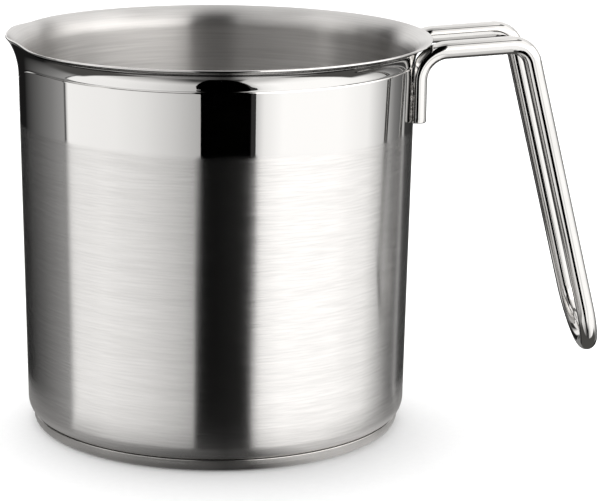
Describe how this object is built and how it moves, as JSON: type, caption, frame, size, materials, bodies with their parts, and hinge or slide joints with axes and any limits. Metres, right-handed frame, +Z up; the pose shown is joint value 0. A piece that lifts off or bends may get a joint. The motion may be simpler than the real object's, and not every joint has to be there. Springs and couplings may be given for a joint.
{
  "type": "candle melting pot",
  "caption": "Tall straight-walled steel pouring pot with a flared rim, a small pinched spout, a capped heat-spreading base and a doubled wire side handle.",
  "frame": {"origin": "on the pot's axis, on the plane the base stands on", "axes": "+Z up along the pot's axis, +X towards the handle, -X towards the spout, and the object is symmetric about the XZ plane"},
  "size_m": [0.2154, 0.1536, 0.1427],
  "materials": {
    "satin_steel": "circumferential satin brush, mirror polish on the band under the rim",
    "heat_disc_aluminium": "as blanked, hidden inside the base",
    "cap_steel": "satin, with a burnished upper edge",
    "polished_wire": "mirror polish",
    "weld_metal": "rough, heat tinted"
  },
  "bodies": {
    "root": {"pot_shell": "satin_steel", "base_core": "heat_disc_aluminium", "base_cap": "cap_steel", "handle_rod": "polished_wire", "weld_front": "weld_metal", "weld_rear": "weld_metal"}
  },
  "joints": []
}
